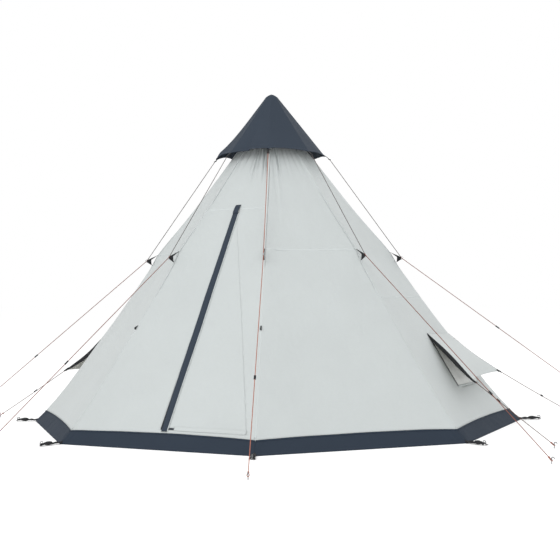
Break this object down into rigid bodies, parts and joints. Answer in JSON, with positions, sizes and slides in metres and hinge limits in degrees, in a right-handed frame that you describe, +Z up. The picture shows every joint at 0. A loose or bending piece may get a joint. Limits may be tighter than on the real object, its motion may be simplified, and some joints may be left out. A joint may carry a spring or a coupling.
{
  "type": "teepee tent",
  "caption": "Single-pole teepee tent with an octagonal wall, a rain cap, two propped vent hoods, a zipped door and braced ridges held by guy ropes and pegs.",
  "frame": {"origin": "centre of the groundsheet's underside, on the ground", "axes": "+Z up along the centre pole, -Y out through the middle of the door, +X to the right of someone facing +Y"},
  "size_m": [5.0854, 5.1007, 2.617],
  "materials": {
    "canopy_fabric": "matt coated polyester, pale grey",
    "navy_fabric": "matt coated polyester, dark slate",
    "groundsheet_film": "woven polyethylene, dark grey",
    "insect_mesh": "fine black netting",
    "webbing": "black woven webbing",
    "zip_coil": "nylon coil on woven tape",
    "zip_metal": "black enamelled zinc",
    "pole_paint": "powder-coated steel tube",
    "pole_rubber": "moulded rubber",
    "black_plastic": "moulded acetal, fine grain",
    "guy_cord": "braided orange cord",
    "ring_steel": "zinc-plated wire",
    "peg_steel": "zinc-plated wire"
  },
  "bodies": {
    "tent": {"gore_front_right": "canopy_fabric", "gore_right": "canopy_fabric", "gore_back_right": "canopy_fabric", "gore_back": "canopy_fabric", "gore_back_left": "canopy_fabric", "gore_left": "canopy_fabric", "gore_front_left": "canopy_fabric", "door_surround": "canopy_fabric", "skirt": "navy_fabric", "cap": "navy_fabric", "apex_collar": "navy_fabric", "groundsheet": "groundsheet_film", "vent_meshes": "insect_mesh", "cap_tabs": "webbing", "guy_patches": "webbing", "corner_straps": "webbing", "vent_bindings": "webbing", "door_zip": "zip_coil", "pole_lower": "pole_paint", "pole_middle": "pole_paint", "pole_upper": "pole_paint", "pole_foot": "pole_rubber", "pole_top": "black_plastic", "strap_buckles": "black_plastic", "guy_rope_front_right": "guy_cord", "guy_rope_right": "guy_cord", "guy_rope_back_right": "guy_cord", "guy_rope_rear_right": "guy_cord", "guy_rope_rear_left": "guy_cord", "guy_rope_back_left": "guy_cord", "guy_rope_left": "guy_cord", "guy_rope_front_left": "guy_cord", "vent_guy_right": "guy_cord", "vent_guy_back_right": "guy_cord", "vent_guy_left": "guy_cord", "vent_guy_back_left": "guy_cord", "patch_rings": "ring_steel", "corner_pegs": "peg_steel", "guy_pegs": "peg_steel"},
    "door_leaf": {"door_leaf": "canopy_fabric", "storm_flap": "navy_fabric", "leaf_zip": "zip_coil"},
    "zip_slider": {"zip_slider": "zip_metal"},
    "zip_pull": {"zip_pull": "zip_metal"},
    "vent_hood_right": {"vent_hood_right": "canopy_fabric"},
    "vent_hood_left": {"vent_hood_left": "canopy_fabric"},
    "runner_front_right": {"runner_front_right": "black_plastic"},
    "runner_right": {"runner_right": "black_plastic"},
    "runner_back_right": {"runner_back_right": "black_plastic"},
    "runner_rear_right": {"runner_rear_right": "black_plastic"},
    "runner_rear_left": {"runner_rear_left": "black_plastic"},
    "runner_back_left": {"runner_back_left": "black_plastic"},
    "runner_left": {"runner_left": "black_plastic"},
    "runner_front_left": {"runner_front_left": "black_plastic"},
    "vent_runner_right": {"vent_runner_right": "black_plastic"},
    "vent_runner_back_right": {"vent_runner_back_right": "black_plastic"},
    "vent_runner_left": {"vent_runner_left": "black_plastic"},
    "vent_runner_back_left": {"vent_runner_back_left": "black_plastic"}
  },
  "joints": [
    {"name": "door_fold", "type": "hinge", "parent": "tent", "child": "door_leaf", "pos_m": [0.63128, -1.68702, 0.1315], "axis": [-0.3241, 0.5454, 0.773], "range_deg": [0, 80]},
    {"name": "zip_travel", "type": "slide", "parent": "tent", "child": "zip_slider", "axis": [0, 0.5765, 0.8171], "range_m": [-1.84, 0]},
    {"name": "pull_swing", "type": "hinge", "parent": "zip_slider", "child": "zip_pull", "pos_m": [0, -0.59946, 1.65208], "axis": [1, 0, 0], "range_deg": [-28, 110]},
    {"name": "hood_right_fold", "type": "hinge", "parent": "tent", "child": "vent_hood_right", "pos_m": [1.28858, 0, 0.70488], "axis": [-0.0298, -0.9987, 0.0423], "range_deg": [-17.5, 0]},
    {"name": "hood_left_fold", "type": "hinge", "parent": "tent", "child": "vent_hood_left", "pos_m": [-1.28858, 0, 0.70488], "axis": [0.0298, 0.9987, 0.0423], "range_deg": [-17.5, 0]},
    {"name": "runner_front_right_slide", "type": "slide", "parent": "tent", "child": "runner_front_right", "axis": [0.328, -0.7449, -0.581], "range_m": [-0.6, 0.6]},
    {"name": "runner_right_slide", "type": "slide", "parent": "tent", "child": "runner_right", "axis": [0.6892, -0.4539, -0.5647], "range_m": [-0.6, 0.529]},
    {"name": "runner_back_right_slide", "type": "slide", "parent": "tent", "child": "runner_back_right", "axis": [0.7412, 0.307, -0.5969], "range_m": [-0.6, 0.6]},
    {"name": "runner_rear_right_slide", "type": "slide", "parent": "tent", "child": "runner_rear_right", "axis": [0.3045, 0.735, -0.6058], "range_m": [-0.6, 0.6]},
    {"name": "runner_rear_left_slide", "type": "slide", "parent": "tent", "child": "runner_rear_left", "axis": [-0.3045, 0.735, -0.6058], "range_m": [-0.6, 0.6]},
    {"name": "runner_back_left_slide", "type": "slide", "parent": "tent", "child": "runner_back_left", "axis": [-0.7412, 0.307, -0.5969], "range_m": [-0.6, 0.6]},
    {"name": "runner_left_slide", "type": "slide", "parent": "tent", "child": "runner_left", "axis": [-0.7154, -0.2842, -0.6383], "range_m": [-0.6, 0.6]},
    {"name": "runner_front_left_slide", "type": "slide", "parent": "tent", "child": "runner_front_left", "axis": [-0.2826, -0.7116, -0.6433], "range_m": [-0.6, 0.6]},
    {"name": "vent_runner_right_slide", "type": "slide", "parent": "tent", "child": "vent_runner_right", "axis": [0.7664, -0.4621, -0.4463], "range_m": [-0.179, 0.25]},
    {"name": "vent_runner_back_right_slide", "type": "slide", "parent": "tent", "child": "vent_runner_back_right", "axis": [0.2227, 0.9202, -0.322], "range_m": [-0.25, 0.25]},
    {"name": "vent_runner_left_slide", "type": "slide", "parent": "tent", "child": "vent_runner_left", "axis": [-0.7899, -0.2684, -0.5514], "range_m": [-0.241, 0.25]},
    {"name": "vent_runner_back_left_slide", "type": "slide", "parent": "tent", "child": "vent_runner_back_left", "axis": [-0.7664, 0.4621, -0.4463], "range_m": [-0.25, 0.238]}
  ]
}
